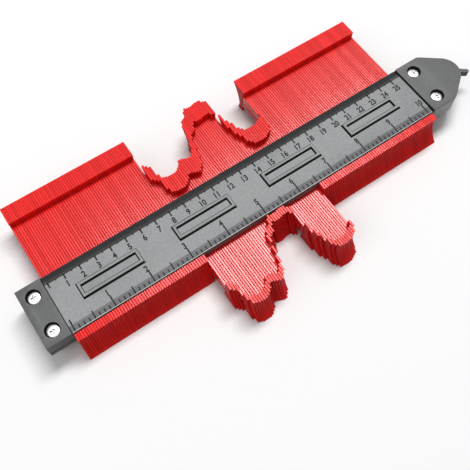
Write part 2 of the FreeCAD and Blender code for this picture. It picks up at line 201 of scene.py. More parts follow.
class HousingSettings(bpy.types.PropertyGroup):
    """Finish of the two covers, the lever and the bar."""

    edge_round: length_setting(
        "Edge rounding", "Width of the rounding along the covers' edges", 0.25 * MM)
    rim_round: length_setting(
        "Rim rounding", "Width of the rounding round the top cover's outline", 0.45 * MM)
    frame_lift: length_setting(
        "Frame lift", "Height of the raised frames over the ruler face", 0.58 * MM)
    # the grooves beside the frames are painted dark as shade
    groove_width: length_setting(
        "Groove width", "Width of the dark grooves beside the frames", 1.35 * MM)
    fine_width: length_setting(
        "Fine line width", "Width of the fine lines beside the frames", 0.5 * MM)
    groove_depth: length_setting(
        "Groove depth", "Depth of the dark grooves beside the frames", 0.9 * MM)
    body_colour: colour_setting(
        "Body colour", "Colour of the housing's dark plastic", (0.155, 0.158, 0.16))
    face_colour: colour_setting(
        "Face colour", "Colour of the ruler face", (0.325, 0.33, 0.335))
    inch_band_colour: colour_setting(
        "Inch band colour", "Colour of the band along the inch edge", (0.17, 0.175, 0.18))
    metric_band_colour: colour_setting(
        "Metric band colour", "Colour of the band along the centimetre edge",
        (0.014, 0.0145, 0.016))
    tick_zone_colour: colour_setting(
        "Tick zone colour", "Colour between the millimetre ticks", (0.07, 0.07, 0.072))
    lever_colour: colour_setting(
        "Lever colour", "Colour of the lock lever and its bar", (0.03, 0.03, 0.032))
    # painted shade in the grooves, lines and screw seats; also the colour of the real seam
    # between the covers
    groove_colour: colour_setting(
        "Groove colour", "Colour down in the grooves and screw seats",
        (0.006, 0.006, 0.007))
    mark_colour: colour_setting(
        "Mark colour", "Colour of the ticks and numbers", (0.01, 0.01, 0.011))


class ScaleSettings(bpy.types.PropertyGroup):
    """Ticks and numbers of the two scales."""

    tick_width: length_setting(
        "Tick width", "Width of the middling ticks; long ones are wider", 0.7 * MM)
    mark_height: length_setting(
        "Mark height", "Height of the marks over the face", 0.08 * MM)
    digit_height: length_setting("Digit height", "Height of the numbers", 4.0 * MM)
    stroke: length_setting(
        "Stroke", "Extra width of the numbers' strokes on each side", 0.17 * MM)


class ScrewSettings(bpy.types.PropertyGroup):
    """Cover screws with a cross recess."""

    head_diameter: length_setting(
        "Head diameter", "Diameter of a screw's head", 2 * SCREW_RADIUS)
    head_height: length_setting("Head height", "Height of a screw's head", 2.4 * MM)
    shank_diameter: length_setting(
        "Shank diameter", "Diameter of a screw's shank", 3.2 * MM)
    recess_span: length_setting(
        "Recess span", "Length of the cross recess's arms", 4.6 * MM)
    recess_depth: length_setting("Recess depth", "Depth of the cross recess", 1.2 * MM)


class StageSettings(bpy.types.PropertyGroup):
    """Floor, lights and camera."""

    floor_size: length_setting("Floor size", "Width of the floor", 6.0)
    key_power: plain_setting("Key power", "Power of the soft light", 41.5)
    key_size: length_setting("Key size", "Width of the soft light", 1.4)
    key_depth: length_setting("Key depth", "Depth of the soft light", 0.6)
    fill_power: plain_setting("Fill power", "Power of the weak fill light", 6.0)
    world_strength: plain_setting(
        "World strength", "Strength of the even light around", 0.26)
    floor_albedo: plain_setting(
        "Floor brightness", "How much light the floor throws back", 0.33)


def new_object(name, data):
    """Puts a mesh, curve, light or camera into the scene as an object."""
    thing = bpy.data.objects.new(name, data)
    bpy.context.scene.collection.objects.link(thing)
    return thing


def mesh_of(bm, name):
    """A mesh of a bmesh, which is freed."""
    mesh = bpy.data.meshes.new(name)
    bm.to_mesh(mesh)
    bm.free()
    return mesh


def mesh_from(build, name):
    """A mesh of what a bmesh builder draws, with its faces turned outwards."""
    bm = bmesh.new()
    build(bm)
    bmesh.ops.recalc_face_normals(bm, faces=bm.faces)
    return mesh_of(bm, name)


def plain_copy(thing, name):
    """The evaluated mesh of an object as a plain object; the first one is removed."""
    bpy.context.view_layer.update()
    evaluated = thing.evaluated_get(bpy.context.evaluated_depsgraph_get())
    mesh = bpy.data.meshes.new_from_object(evaluated)
    bpy.data.objects.remove(thing)
    mesh.name = name
    return new_object(name, mesh)


def cut_away(thing, draw, name):
    """A plain copy of an object with a drawn shape cut out of it."""
    cutter = new_object("cutter", mesh_from(draw, "cutter"))
    cut = thing.modifiers.new("cut", "BOOLEAN")
    cut.operation = "DIFFERENCE"
    cut.object = cutter
    cut.solver = "EXACT"
    points = len(thing.data.vertices)
    finished = plain_copy(thing, name)
    bpy.data.objects.remove(cutter)
    if len(finished.data.vertices) <= points:
        raise RuntimeError(name + " wasn't cut")
    return finished


def side_faces(bm, low, high):
    """The faces between two loops of as many points."""
    return [bm.faces.new(corners)
            for corners in zip(low, low[1:] + low[:1], high[1:] + high[:1], high)]


def joined(name, parts):
    """One object from several plain ones."""
    bm = bmesh.new()
    materials = []
    for part in parts:
        offset = len(materials)
        materials.extend(part.data.materials)
        start = len(bm.faces)
        bm.from_mesh(part.data)
        bm.faces.ensure_lookup_table()
        for face in bm.faces[start:]:
            face.material_index += offset
        bpy.data.objects.remove(part)
    mesh = mesh_of(bm, name)
    for material in materials:
        mesh.materials.append(material)
    return new_object(name, mesh)


def smooth_by_angle(thing, angle):
    """Smooth shading with sharp edges kept where faces meet at more than the angle."""
    bm = bmesh.new()
    bm.from_mesh(thing.data)
    for face in bm.faces:
        face.smooth = True
    for edge in bm.edges:
        edge.smooth = len(edge.link_faces) == 2 and edge.calc_face_angle(0) < angle
    bm.to_mesh(thing.data)
    bm.free()


def on_rim(edge):
    """True for the top cover's upper outline, away from the screw seats and the steps."""
    for vertex in edge.verts:
        x, y, z = vertex.co
        if abs(z - COVER_TOP) > 0.01 * MM:
            return False
        if any(math.hypot(x - seat_x, y - seat_y) < 5 * MM
               for seat_x in SCREW_X for seat_y in SCREW_Y):
            return False
    middle = (edge.verts[0].co.x + edge.verts[1].co.x) / 2
    return abs(middle - FACE_START) > 0.5 * MM and abs(middle - FACE_END) > 0.5 * MM


def softened(node, name, width, material, adjust=None, rim=None):
    """A copy of a CAD node with its sharp edges rounded a little, its rim a little more."""
    bm = bmesh.new()
    bm.from_mesh(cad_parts[node].data)
    bmesh.ops.remove_doubles(bm, verts=bm.verts, dist=MERGE_DISTANCE)
    bmesh.ops.dissolve_limit(bm, angle_limit=math.radians(1), verts=bm.verts,
                             edges=bm.edges)
    if adjust:
        adjust(bm)
    weight = bm.edges.layers.float.new("bevel_weight_edge")
    most = max(width, rim or 0)
    for edge in bm.edges:
        if len(edge.link_faces) == 2 and edge.calc_face_angle(0) > SHARP_ANGLE:
            edge[weight] = (rim if rim and on_rim(edge) else width) / most
    mesh = mesh_of(bm, name)
    mesh.materials.append(material)
    thing = new_object(name + "_rough", mesh)
    bevel = thing.modifiers.new("rounding", "BEVEL")
    bevel.width = most
    bevel.segments = 3 if rim else 2
    bevel.limit_method = "WEIGHT"
    bevel.use_clamp_overlap = True
    finished = plain_copy(thing, name)
    smooth_by_angle(finished, COVER_SMOOTH)
    return finished


# materials

def connect(tree, *pairs):
    """Links pairs of sockets."""
    for source, target in pairs:
        tree.links.new(source, target)


def group_named(name, kind, inputs, outputs):
    """Turns a function that fills a node group into one that gives the group."""
    def wrap(fill):
        def get():
            group = bpy.data.node_groups.get(name)
            if not group:
                group = bpy.data.node_groups.new(name, kind)
                for way, sockets in (("INPUT", inputs), ("OUTPUT", outputs)):
                    for socket, sort in sockets.items():
                        group.interface.new_socket(
                            socket, in_out=way, socket_type="NodeSocket" + sort)
                fill(group, group.nodes.new("NodeGroupInput").outputs,
                     group.nodes.new("NodeGroupOutput").inputs)
            return group
        return get
    return wrap


def finish_named(name):
    """Turns a function that fills a material's nodes into one that gives the material."""
    def wrap(fill):
        def get():
            material = bpy.data.materials.get(name)
            if not material:
                material = bpy.data.materials.new(name)
                material.use_nodes = True
                tree = material.node_tree
                place = tree.nodes.new("ShaderNodeTexCoord").outputs["Object"]
                fill(tree, tree.nodes["Principled BSDF"], place)
            return material
        return get
    return wrap


def split_place(tree, place):
    """The x, y and z of a place."""
    split = tree.nodes.new("ShaderNodeSeparateXYZ")
    tree.links.new(place, split.inputs[0])
    return split.outputs


@group_named("moulded_grain", "ShaderNodeTree",
             {"Place": "Vector", "Grain Size": "Float", "Patch Size": "Float"},
             {"Height": "Float", "Patches": "Float", "Specks": "Float"})
def grain_group(group, start, end):
    """Fine moulded grain: a height for the bump, broad patches and small specks."""
    fine, broad, specks = [group.nodes.new("ShaderNodeTexNoise") for _ in range(3)]
    for noise, detail in ((fine, 2), (broad, 3), (specks, 1)):
        noise.inputs["Detail"].default_value = detail
        group.links.new(start["Place"], noise.inputs["Vector"])
    specks.inputs["Scale"].default_value = SPECK_SCALE
    connect(group, (start["Grain Size"], fine.inputs["Scale"]),
            (start["Patch Size"], broad.inputs["Scale"]),
            (fine.outputs["Fac"], end["Height"]),
            (broad.outputs["Fac"], end["Patches"]),
            (add_range(group, specks.outputs["Fac"], 0.3, 0.7, 0, 1), end["Specks"]))


def add_grain(tree, place, grain, patches):
    """The grain group placed in a material with its own values."""
    node = tree.nodes.new("ShaderNodeGroup")
    node.node_tree = grain_group()
    tree.links.new(place, node.inputs["Place"])
    node.inputs["Grain Size"].default_value = grain
    node.inputs["Patch Size"].default_value = patches
    return node


def patchy(tree, grain, start, end):
    """A value that follows the grain's broad patches."""
    return add_range(tree, grain.outputs["Patches"], 0.3, 0.7, start, end)


def specked(tree, grain, start, end):
    """A value that follows the grain's small specks."""
    return add_range(tree, grain.outputs["Specks"], 0, 1, start, end)


def scaled(colour, share):
    """A colour times a number, held below full."""
    return [min(1, part * share) for part in colour]


def add_bump(tree, shader, height, strength, distance):
    """A bump from a height into the shader's normal."""
    bump = tree.nodes.new("ShaderNodeBump")
    bump.inputs["Strength"].default_value = strength
    bump.inputs["Distance"].default_value = distance
    tree.links.new(height, bump.inputs["Height"])
    tree.links.new(bump.outputs["Normal"], shader.inputs["Normal"])


def add_mix(tree, mask, low, high):
    """A colour between two others; either may be a socket or a plain colour."""
    mix = tree.nodes.new("ShaderNodeMix")
    mix.data_type = "RGBA"
    tree.links.new(mask, mix.inputs["Factor"])
    for socket, colour in ((mix.inputs[6], low), (mix.inputs[7], high)):
        if isinstance(colour, bpy.types.NodeSocket):
            tree.links.new(colour, socket)
        else:
            socket.default_value = tuple(colour) + (1,)
    return mix.outputs[2]


def add_math(tree, operation, first, second):
    """A math node; either value may be a socket or a number."""
    node = tree.nodes.new("ShaderNodeMath")
    node.operation = operation
    for socket, amount in zip(node.inputs, (first, second)):
        if isinstance(amount, bpy.types.NodeSocket):
            tree.links.new(amount, socket)
        else:
            socket.default_value = amount
    return node.outputs[0]


def add_range(tree, amount, low, high, start, end):
    """A value mapped from one range to another and held inside it."""
    node = tree.nodes.new("ShaderNodeMapRange")
    tree.links.new(amount, node.inputs["Value"])
    for name, number in (("From Min", low), ("From Max", high),
                         ("To Min", start), ("To Max", end)):
        node.inputs[name].default_value = number
    return node.outputs["Result"]


def add_band(tree, amount, low, high):
    """One where a value lies between two others, else zero."""
    above = add_math(tree, "GREATER_THAN", amount, low)
    return add_math(tree, "MULTIPLY", above, add_math(tree, "LESS_THAN", amount, high))


def add_all(tree, operation, values):
    """The same operation over several values."""
    found = values[0]
    for amount in values[1:]:
        found = add_math(tree, operation, found, amount)
    return found


def add_both(tree, *masks):
    """One where all the masks are one."""
    return add_all(tree, "MULTIPLY", masks)


def add_distance(tree, amount, low, high):
    """How far a value lies from the nearer one of two others."""
    from_middle = add_math(tree, "SUBTRACT", amount, (low + high) / 2)
    return add_math(tree, "SUBTRACT", add_math(tree, "ABSOLUTE", from_middle, 0),
                    (high - low) / 2)


def dark_places(tree, x, y, z, along, top):
    """One where shade is painted down in the lines, grooves and screw seats of the housing,
    and on the real seam between the covers.
    """
    # painted shade in the step groove at the face's right end and along the step at its
    # left end
    step = add_both(tree, add_band(tree, x, FACE_END - STEP_SHADE_WIDTH, FACE_END + 0.06 * MM),
                    add_band(tree, z, FACE_TOP - 1.1 * MM, FACE_TOP - 0.1 * MM))
    left_shade_line = add_both(tree, add_band(tree, x, FACE_START - 0.02 * MM,
                                        FACE_START + LEFT_SHADE_LINE_WIDTH), top)
    # painted shade on the floors of the grooves beside the frames
    frames = add_both(tree, along, add_band(tree, y, -FRAME_REACH_Y, FRAME_REACH_Y),
                      add_band(tree, z, FACE_TOP - 2 * MM, FACE_TOP - 0.06 * MM))
    # the seam between the covers is a real dark joint, not shade
    seam = add_both(tree, add_math(tree, "LESS_THAN", x, FACE_START - 0.5 * MM),
                    add_band(tree, z, SEAM_LOW, SEAM_HIGH))
    # painted shade in the screw seats
    across = add_distance(tree, x, *SCREW_X)
    aside = add_distance(tree, y, *SCREW_Y)
    squares = add_math(tree, "ADD", add_math(tree, "MULTIPLY", across, across),
                       add_math(tree, "MULTIPLY", aside, aside))
    seats = add_both(tree, add_math(tree, "LESS_THAN", squares, SEAT_SHADE_RADIUS ** 2),
                     add_band(tree, z, FACE_TOP - 4 * MM, COVER_TOP - 0.3 * MM))
    return add_all(tree, "MAXIMUM", (step, left_shade_line, frames, seam, seats))


@finish_named("housing_plastic_finish")
def housing_plastic(tree, shader, place):
    """Dark moulded plastic with a paler ruler face and its two bands, painted shade in the
    grooves, lines and screw seats, a painted highlight along the inch edge and painted
    light on the nose's side.
    """
    settings = bpy.context.scene.gauge_housing
    x, y, z = split_place(tree, place)
    grain = add_grain(tree, place, 2600, 45)
    along = add_band(tree, x, FACE_START, COLOURED_END)
    top = add_math(tree, "GREATER_THAN", z, FACE_TOP - 0.7 * MM)
    ruler = add_both(tree, along, top)
    patches = patchy(tree, grain, 0, 1)

    def shades(colour, spread):
        return add_mix(tree, patches, scaled(colour, 1 - spread),
                       scaled(colour, 1 + spread))

    # painted light: the nose's side is painted lighter, as where light falls on it
    painted_lit_nose_side = add_both(tree, add_math(tree, "GREATER_THAN", x, FACE_END + 1 * MM),
                         add_math(tree, "LESS_THAN", y, -6 * MM),
                         add_math(tree, "LESS_THAN", z, COVER_TOP - 0.8 * MM))
    body = settings.body_colour
    colour = add_mix(tree, painted_lit_nose_side, shades(body, 0.14), shades(scaled(body, 3.2), 0.14))
    for low, high, inside, spread in (
            (INCH_BAND_END, METRIC_BAND_START, settings.face_colour, 0.1),
            (PAINTED_HIGHLIGHT_START, INCH_BAND_END, settings.inch_band_colour, 0.15),
            (TICK_FEET, METRIC_BAND_START, settings.tick_zone_colour, 0.15),
            (METRIC_BAND_START, METRIC_EDGE, settings.metric_band_colour, 0.2),
            # a painted highlight along the inch edge, then painted shade in the strip
            # beyond it
            (PAINTED_HIGHLIGHT_START, PAINTED_HIGHLIGHT_END, PAINTED_HIGHLIGHT_COLOUR, 0.15),
            (INCH_EDGE, PAINTED_HIGHLIGHT_START, settings.groove_colour, 0.1)):
        mask = add_both(tree, ruler, add_band(tree, y, low, high))
        colour = add_mix(tree, mask, colour, shades(inside, spread))
    speckled = add_mix(tree, specked(tree, grain, 0, 0.16), colour, SPECK_COLOUR)
    # the dark mask paints shade into the grooves, lines and screw seats, and also marks the
    # real seam
    dark = dark_places(tree, x, y, z, along, top)
    satin = patchy(tree, grain, 0.4, 0.52)
    dull = add_math(tree, "MULTIPLY", dark, 0.95)
    connect(tree, (add_mix(tree, dark, speckled, settings.groove_colour),
                   shader.inputs["Base Color"]),
            (add_math(tree, "MAXIMUM", satin, dull), shader.inputs["Roughness"]))
    shader.inputs["Specular IOR Level"].default_value = 0.2
    add_bump(tree, shader, grain.outputs["Height"], 0.15, 0.1 * MM)


@finish_named("fin_plastic_finish")
def fin_plastic(tree, shader, place):
    """Red plastic, a little different from fin to fin, with shade painted into the crevices
    between the fins.
    """
    settings = bpy.context.scene.gauge_fins
    start = FIRST_LOW.x - (FIN_PITCH - FIN_THICKNESS) / 2
    along = add_math(tree, "DIVIDE",
                     add_math(tree, "SUBTRACT", split_place(tree, place)["X"], start),
                     FIN_PITCH)
    number = add_math(tree, "FLOOR", along, 0)
    share = add_math(tree, "SUBTRACT", add_math(tree, "FRACT", along, 0), 0.5)
    # painted shade in the crevices between neighbouring fins
    seam = add_range(tree, add_math(tree, "ABSOLUTE", share, 0), 0.36, 0.47, 0, 0.48)
    noise = tree.nodes.new("ShaderNodeTexWhiteNoise")
    noise.noise_dimensions = "1D"
    chance = noise.outputs["Value"]
    grain = add_grain(tree, place, 1800, 60)
    colour = add_mix(tree, chance, scaled(settings.colour, 0.88),
                     scaled(settings.colour, 1.1))
    polish = tree.nodes.new("ShaderNodeAttribute")
    polish.attribute_name = "gloss"
    coat = add_math(tree, "MULTIPLY", polish.outputs["Fac"],
                    add_range(tree, chance, 0, 1, 0.6, 1))
    crevice_shaded = add_mix(tree, seam, colour, settings.seam_colour)
    connect(tree, (number, noise.inputs["W"]), (crevice_shaded, shader.inputs["Base Color"]),
            (patchy(tree, grain, 0.38, 0.5), shader.inputs["Roughness"]),
            (coat, shader.inputs["Coat Weight"]))
    shader.inputs["Specular IOR Level"].default_value = 0.12
    shader.inputs["Coat Roughness"].default_value = 0.17
    add_bump(tree, shader, grain.outputs["Height"], 0.06, 0.08 * MM)


@finish_named("mark_finish")
def mark_ink(tree, shader, place):
    """Dark marks of the scales."""
    colour = bpy.context.scene.gauge_housing.mark_colour
    grain = add_grain(tree, place, 1500, 250)
    shade = add_mix(tree, grain.outputs["Patches"], scaled(colour, 0.5),
                    scaled(colour, 2.2))
    connect(tree, (shade, shader.inputs["Base Color"]),
            (specked(tree, grain, 0.5, 0.7), shader.inputs["Roughness"]))
    shader.inputs["Specular IOR Level"].default_value = 0.2


@finish_named("screw_finish")
def screw_steel(tree, shader, place):
    """Bright plated steel, with shade painted down in the cross recess."""
    grain = add_grain(tree, place, 900, 200)
    # painted shade down in the cross recess
    deep = add_band(tree, split_place(tree, place)["Z"], SCREW_HIGH.z - 2.5 * MM,
                    SCREW_HIGH.z - 0.75 * MM)
    shader.inputs["Metallic"].default_value = 1
    connect(tree, (add_mix(tree, deep, STEEL_COLOUR, RECESS_SHADE_COLOUR),
                   shader.inputs["Base Color"]),
            (patchy(tree, grain, 0.26, 0.4), shader.inputs["Roughness"]))


@finish_named("lever_finish")
def lever_plastic(tree, shader, place):
    """Dark plastic of the lever and the bar, with its upper face painted lighter and its
    sides painted darker, as painted light and shade.
    """
    colour = bpy.context.scene.gauge_housing.lever_colour
    grain = add_grain(tree, place, 2200, 70)
    # painted light on the top face and painted shade on the sides
    upper = add_math(tree, "GREATER_THAN", split_place(tree, place)["Z"],
                     LEVER_TOP - 0.2 * MM)
    shade = add_mix(tree, upper, scaled(colour, 0.35), scaled(colour, 4))
    tree.links.new(add_mix(tree, patchy(tree, grain, 0, 0.3), shade, colour),
                   shader.inputs["Base Color"])
    shader.inputs["Roughness"].default_value = 0.42
    add_bump(tree, shader, grain.outputs["Height"], 0.1, 0.1 * MM)


# fins

def head_outline(settings):
    """Outline of one hooked head, from the stem's top round the tip to its underside."""
    top = settings.head_height / 2
    tip = settings.reach
    stem = settings.stem_height / 2
    inner = settings.head_start
    lean = settings.head_lean
    start, via, end = Vector((tip, top)), Vector(HOOK_MIDDLE), Vector(HOOK_END)
    middle = via * 2 - (start + end) / 2
    points = [Vector((inner - lean * stem, stem)), Vector((inner - lean * top, top))]
    for step in range(HOOK_STEPS + 1):
        t = step / HOOK_STEPS
        points.append(start * (1 - t) ** 2 + middle * 2 * t * (1 - t) + end * t ** 2)
    return points + [Vector((HOOK_FOOT, -top)), Vector((inner + lean * top, -top)),
                     Vector((inner + lean * stem, -stem))]


def rounded_plate(bm, outline, half, round_off):
    """A plate across X with its rim rounded: four rings of the outline and two faces."""
    rings = []
    following = outline[1:] + outline[:1]
    for x, shrink in ((-half, round_off), (-half + round_off, 0),
                      (half - round_off, 0), (half, round_off)):
        ring = []
        for index, (corner, after) in enumerate(zip(outline, following)):
            first = (corner - outline[index - 1]).normalized()
            second = (after - corner).normalized()
            normal = Vector((-(first.y + second.y), first.x + second.x)).normalized()
            place = corner + normal * shrink
            ring.append(bm.verts.new((x, place.x, place.y)))
        rings.append(ring)
    for low, high in zip(rings, rings[1:]):
        side_faces(bm, low, high)
    bm.faces.new(rings[0])
    bm.faces.new(rings[-1])


def draw_fin(bm):
    """One fin about its own middle: a grooved stem between two hooked heads."""
    settings = bpy.context.scene.gauge_fins
    polished = bm.faces.layers.float.new("gloss")
    half = FIN_PITCH / 2 - FIN_GAP
    head = head_outline(settings)
    if sum(a.x * b.y - b.x * a.y for a, b in zip(head, head[1:] + head[:1])) < 0:
        head.reverse()
    rounded_plate(bm, head, half, settings.edge_round)
    rounded_plate(bm, [-corner for corner in head], half, settings.edge_round)
    bm.normal_update()
    for face in bm.faces:
        if abs(face.normal.z) > LEVEL_NORMAL:
            face[polished] = HEAD_GLOSS
    top = settings.stem_height / 2
    groove = settings.groove_height / 2
    deep = settings.groove_depth
    soft = settings.stem_round
    side = [(half, groove), (half, top - soft), (half - soft, top)]
    section = [(half - deep, -groove + soft), (half - deep, groove - soft)] + side
    section += [(-x, z) for x, z in reversed(side)]
    section += [(-half + deep, groove - soft), (-half + deep, -groove + soft)]
    lower = [(x, -z) for x, z in reversed(side)]
    section += [(-x, z) for x, z in reversed(lower)]
    section += lower
    near, far = [[bm.verts.new((x, y, z)) for x, z in section]
                 for y in (-STEM_REACH, STEM_REACH)]
    for face in side_faces(bm, near, far):
        face[polished] = 1
    bm.faces.new(near)
    bm.faces.new(far)


def fin_places(node):
    """The middle of each fin in a CAD node, read from its mesh."""
    reach = {}
    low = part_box(node)[0].x
    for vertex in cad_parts[node].data.vertices:
        number = int((vertex.co.x - low) / FIN_PITCH + 0.01)
        least, most = reach.get(number, (math.inf, -math.inf))
        reach[number] = (min(least, vertex.co.y), max(most, vertex.co.y))
    first = low + FIN_THICKNESS / 2
    return [(first + number * FIN_PITCH, sum(span) / 2, FIN_MIDDLE)
            for number, span in sorted(reach.items())]


def finish_copies(tree, copies, material, result):
    """Makes a tree's copies real and gives them their material."""
    real = tree.nodes.new("GeometryNodeRealizeInstances")
    finish = tree.nodes.new("GeometryNodeSetMaterial")
    connect(tree, (copies, real.inputs["Geometry"]),
            (real.outputs["Geometry"], finish.inputs["Geometry"]),
            (material, finish.inputs["Material"]), (finish.outputs["Geometry"], result))


@group_named("piece_on_points", "GeometryNodeTree",
             {"Geometry": "Geometry", "Piece": "Object", "Scale": "Float",
              "Material": "Material"}, {"Geometry": "Geometry"})
def instance_tree(tree, start, end):
    """Geometry nodes: an object on every point, made real, with a material."""
    info = tree.nodes.new("GeometryNodeObjectInfo")
    place = tree.nodes.new("GeometryNodeInstanceOnPoints")
    connect(tree, (start["Piece"], info.inputs["Object"]),
            (start["Geometry"], place.inputs["Points"]),
            (info.outputs["Geometry"], place.inputs["Instance"]),
            (start["Scale"], place.inputs["Scale"]))
    finish_copies(tree, place.outputs["Instances"], start["Material"], end["Geometry"])


def set_inputs(modifier, values):
    """Sets a geometry nodes modifier's inputs by their names in the tree."""
    for item in modifier.node_group.interface.items_tree:
        if item.in_out == "INPUT" and item.name in values:
            modifier[item.identifier] = values[item.name]


def placed_copies(name, piece, places, material):
    """A piece repeated on a list of places, as one plain mesh."""
    mesh = bpy.data.meshes.new(name + "_points")
    mesh.from_pydata(places, [], [])
    holder = new_object(name + "_holder", mesh)
    modifier = holder.modifiers.new("copies", "NODES")
    modifier.node_group = instance_tree()
    set_inputs(modifier, {"Piece": piece, "Scale": 1.0, "Material": material})
    return plain_copy(holder, name)


class GAUGE_OT_fins(bpy.types.Operator):
    """Build the sliding fins, one piece for each sliding group"""

    bl_idname = "gauge.fins"
    bl_label = "Fins"

    def execute(self, context):
        pattern = new_object("fin_pattern", mesh_from(draw_fin, "fin_pattern"))
        for node in FIN_NODES:
            number = node.split("_")[1]
            piece = placed_copies("comb_" + number, pattern, fin_places(node),
                                  fin_plastic())
            smooth_by_angle(piece, FIN_SMOOTH)
            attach(piece, "slide_" + number)
            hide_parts(node)
        bpy.data.objects.remove(pattern)
        return {"FINISHED"}


# housing

def shown_edge(amount, cad_edges, shown_edges):
    """Where the frame's edge nearest to a place in the CAD is shown."""
    return min(zip(cad_edges, shown_edges), key=lambda pair: abs(pair[0] - amount))[1]


def shape_frames(bm):
    """Lifts the four frames on the ruler face and narrows them beside their grooves."""
    lift = bpy.context.scene.gauge_housing.frame_lift
    for vertex in bm.verts:
        place = vertex.co
        centre = min(FRAME_CENTRES, key=lambda middle: abs(middle - place.x))
        x = place.x - centre
        if (abs(place.y) > FRAME_REACH_Y or abs(x) > FRAME_REACH_X
                or place.z < FACE_TOP - 0.1 * MM):
            continue
        if place.z > FACE_TOP + 0.2 * MM:
            place.z = FACE_TOP + lift
        place.y = shown_edge(place.y, CAD_ACROSS, SHOWN_ACROSS)
        place.x = centre + shown_edge(x, CAD_ALONG, SHOWN_ALONG)


def draw_ring(bm, outer, inner, low, high):
    """A closed ring between two rectangles, each given as its low and high corner."""
    loops = []
    for x0, y0, x1, y1 in (outer, inner):
        corners = ((x0, y0), (x1, y0), (x1, y1), (x0, y1))
        for z in (low, high):
            loops.append([bm.verts.new((x, y, z)) for x, y in corners])
    outer_low, outer_high, inner_low, inner_high = loops
    for first, second in ((outer_low, outer_high), (outer_high, inner_high),
                          (inner_high, inner_low), (inner_low, outer_low)):
        side_faces(bm, first, second)


def draw_grooves(bm):
    """The cutter of the lines round and inside each frame, wide and fine ones, whose floors
    are painted dark as shade.
    """
    settings = bpy.context.scene.gauge_housing
    wide, fine = settings.groove_width, settings.fine_width
    low, high = FACE_TOP - settings.groove_depth, FACE_TOP + MM
    fine_end = fine * FINE_END_LINE
    for number, centre in enumerate(FRAME_CENTRES):
        end = wide * (END_LINE + END_LINE_GROWTH * number)
        left, inner_left, inner_right, right = (centre + x for x in SHOWN_ALONG)
        near, inner_near, inner_far, far = SHOWN_ACROSS
        draw_ring(bm, (left - end, near - wide, right + fine_end, far + fine),
                  (left, near, right, far), low, high)
        draw_ring(bm, (inner_left, inner_near, inner_right, inner_far),
                  (inner_left + fine_end, inner_near + fine, inner_right - end,
                   inner_far - wide), low, high)


class GAUGE_OT_covers(bpy.types.Operator):
    """Build the top and bottom covers with softened edges"""

    bl_idname = "gauge.covers"
    bl_label = "Covers"

    def execute(self, context):
        settings = context.scene.gauge_housing
        shell = softened("top_cover", "ruler_rough", settings.edge_round, housing_plastic(),
                         adjust=shape_frames, rim=settings.rim_round)
        shell = cut_away(shell, draw_grooves, "ruler_shell")
        back = softened("bottom_cover", "back_shell", settings.edge_round,
                        housing_plastic())
        for node, piece in (("top_cover", shell), ("bottom_cover", back)):
            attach(piece, "housing")
            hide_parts(node)
        return {"FINISHED"}


class GAUGE_OT_lever(bpy.types.Operator):
    """Build the lock lever and its bar"""

    bl_idname = "gauge.lever"
    bl_label = "Lever and bar"

    def execute(self, context):
        width = context.scene.gauge_housing.edge_round
        for node, name, body in (("lock_lever", "cam_lever", "lever"),
                                 ("lock_bar", "clamp_bar", "bar")):
            piece = softened(node, name, width, lever_plastic())
            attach(piece, body)
            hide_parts(node)
        return {"FINISHED"}


# scales

@group_named("tick_row", "GeometryNodeTree",
             {"Geometry": "Geometry", "Count": "Int", "Start": "Vector",
              "Step": "Vector", "Tick Size": "Vector", "Material": "Material"},
             {"Geometry": "Geometry"})
def tick_tree(tree, start, end):
    """Geometry nodes: a row of ticks with a set step, width and length."""
    line = tree.nodes.new("GeometryNodeMeshLine")
    line.mode = "OFFSET"
    cube = tree.nodes.new("GeometryNodeMeshCube")
    place = tree.nodes.new("GeometryNodeInstanceOnPoints")
    connect(tree, (start["Count"], line.inputs["Count"]),
            (start["Start"], line.inputs["Start Location"]),
            (start["Step"], line.inputs["Offset"]),
            (start["Tick Size"], cube.inputs["Size"]),
            (line.outputs["Mesh"], place.inputs["Points"]),
            (cube.outputs["Mesh"], place.inputs["Instance"]))
    finish_copies(tree, place.outputs["Instances"], start["Material"], end["Geometry"])


def laid_on_face(mesh):
    """Lowers what lies beyond the face's flat part, so that it follows the bevels."""
    for vertex in mesh.vertices:
        beyond = abs(vertex.co.y) - FACE_HALF
        if beyond > 0:
            vertex.co.z -= beyond * FACE_SLOPE


def tick_row(name, count, step, far, near, width, height):
    """A row of ticks from the zero mark, between two distances across the ruler."""
    holder = new_object(name + "_holder", bpy.data.meshes.new(name + "_seed"))
    modifier = holder.modifiers.new("ticks", "NODES")
    modifier.node_group = tick_tree()
    set_inputs(modifier, {
        "Count": count,
        "Start": (ZERO_X, (far + near) / 2, FACE_TOP + (height - TICK_SINK) / 2),
        "Step": (step, 0.0, 0.0),
        "Tick Size": (width, abs(far - near), height + TICK_SINK),
        "Material": mark_ink(),
    })
    row = plain_copy(holder, name)
    laid_on_face(row.data)
    return row


def number_mesh(text, x, y, height):
    """A number with its middle at x and its feet at y, a little above the face."""
    settings = bpy.context.scene.gauge_scale
    curve = bpy.data.curves.new("number_" + text, "FONT")
    curve.body = text
    curve.align_x = "CENTER"
    curve.size = height * FONT_SCALE
    curve.extrude = settings.mark_height / 2
    curve.offset = settings.stroke
    curve.resolution_u = 3
    piece = plain_copy(new_object("number_" + text, curve), "digits_" + text)
    piece.data.transform(Matrix.Translation((x, y, FACE_TOP + settings.mark_height / 2))
                         @ Matrix.Diagonal((FONT_NARROWING, 1, 1, 1)))
    piece.data.materials.clear()
    piece.data.materials.append(mark_ink())
    return piece


